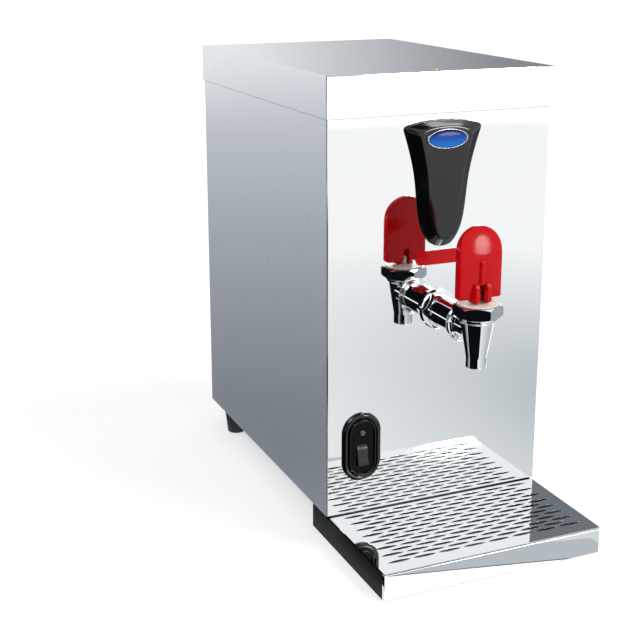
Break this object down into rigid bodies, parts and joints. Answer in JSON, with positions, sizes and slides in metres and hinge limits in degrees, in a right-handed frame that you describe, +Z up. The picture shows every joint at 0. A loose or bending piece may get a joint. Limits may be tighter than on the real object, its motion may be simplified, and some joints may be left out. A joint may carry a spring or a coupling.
{
  "type": "water boiler",
  "caption": "Countertop autofill water boiler: tall steel cabinet, lever tap under a black cover, rocker switch, slotted drip grille on a sliding tray.",
  "frame": {"origin": "on the table under the middle of the machine's bounding box", "axes": "+X to the right as seen from the front, +Y to the back (the tap and tray point to -Y), +Z up"},
  "size_m": [0.2104, 0.4272, 0.4027],
  "materials": {
    "mirror_steel": "mirror polished stainless steel",
    "satin_steel": "satin stainless steel",
    "inner_steel": "plain stainless steel, hidden",
    "chrome_plate": "bright chrome plate",
    "brass": "plain brass",
    "copper_tube": "plain copper",
    "gloss_black": "gloss black plastic",
    "matt_black": "matt black plastic",
    "red_plastic": "gloss red plastic",
    "cream_plastic": "cream plastic",
    "white_plastic": "white plastic",
    "badge_blue": "clear domed blue plastic",
    "silver_trim": "silver foil on plastic",
    "amber_lens": "dark red clear plastic, unlit",
    "black_rubber": "moulded rubber",
    "silicone": "silicone rubber",
    "foam": "closed cell foam",
    "board_green": "lacquered circuit board"
  },
  "bodies": {
    "cabinet": {"floor_plate": "inner_steel", "front_panel": "mirror_steel", "left_side_panel": "satin_steel", "right_side_panel": "satin_steel", "rear_panel": "satin_steel", "left_rear_foot": "black_rubber", "right_rear_foot": "black_rubber", "left_foot_screw": "inner_steel", "right_foot_screw": "inner_steel", "tap_cover": "gloss_black", "lower_cover_screw": "inner_steel", "upper_cover_screw": "inner_steel", "badge_rim": "silver_trim", "badge_lens": "badge_blue", "red_plate": "red_plastic", "switch_plate": "gloss_black", "switch_housing": "gloss_black", "indicator_lens": "amber_lens", "tap_body": "chrome_plate", "panel_nut": "chrome_plate", "tail_seal": "silicone", "bonnet_nut": "chrome_plate", "bonnet_cap": "cream_plastic", "stem_spring": "inner_steel", "tray_carrier": "matt_black", "left_carrier_screw": "inner_steel", "right_carrier_screw": "inner_steel", "tank_stand": "inner_steel", "insulation_jacket": "foam", "tank": "inner_steel", "tank_gasket": "silicone", "tank_lid": "inner_steel", "heating_element": "copper_tube", "element_nut": "brass", "long_probe": "inner_steel", "short_probe": "inner_steel", "temperature_sensor": "inner_steel", "overheat_cutout": "matt_black", "inlet_valve": "white_plastic", "valve_coil": "matt_black", "inlet_nut": "brass", "fill_pipe": "copper_tube", "overflow_pipe": "copper_tube", "drain_pipe": "copper_tube", "drain_plug": "brass", "board_tray": "white_plastic", "control_board": "board_green", "terminal_block": "white_plastic", "cable_gland": "matt_black", "gland_nut": "matt_black"},
    "lid_body": {"lid": "mirror_steel", "lid_screw": "brass"},
    "rocker_body": {"switch_rocker": "gloss_black"},
    "stem_body": {"valve_stem": "chrome_plate", "seat_cup": "silicone"},
    "lever_body": {"tap_lever": "red_plastic", "lever_pin": "inner_steel"},
    "tray_body": {"drip_tray": "matt_black", "tray_front": "mirror_steel"},
    "grille_body": {"drip_grille": "mirror_steel"}
  },
  "joints": [
    {"name": "lid_lift", "type": "slide", "parent": "cabinet", "child": "lid_body", "axis": [0, 0, 1], "range_m": [0, 0.06]},
    {"name": "rocker_tip", "type": "hinge", "parent": "cabinet", "child": "rocker_body", "pos_m": [-0.0716, -0.1094, 0.0778], "axis": [1, 0, 0], "range_deg": [0, 14]},
    {"name": "stem_lift", "type": "slide", "parent": "cabinet", "child": "stem_body", "axis": [0, 0, 1], "range_m": [0, 0.0034], "deforming": ["stem_spring"]},
    {"name": "lever_tilt", "type": "hinge", "parent": "stem_body", "child": "lever_body", "pos_m": [0, -0.1719, 0.2274], "axis": [1, 0, 0], "range_deg": [0, 35], "stiffness_Nm_per_rad": 0.05, "springref_deg": -28.65},
    {"name": "tray_slide", "type": "slide", "parent": "cabinet", "child": "tray_body", "axis": [0, -1, 0], "range_m": [0, 0.11]},
    {"name": "grille_lift", "type": "slide", "parent": "tray_body", "child": "grille_body", "axis": [0, 0, 1], "range_m": [0, 0.028]}
  ],
  "couplings": [
    {"joint": "lever_tilt", "follows": "stem_lift", "rad_per_m": 179.66}
  ]
}
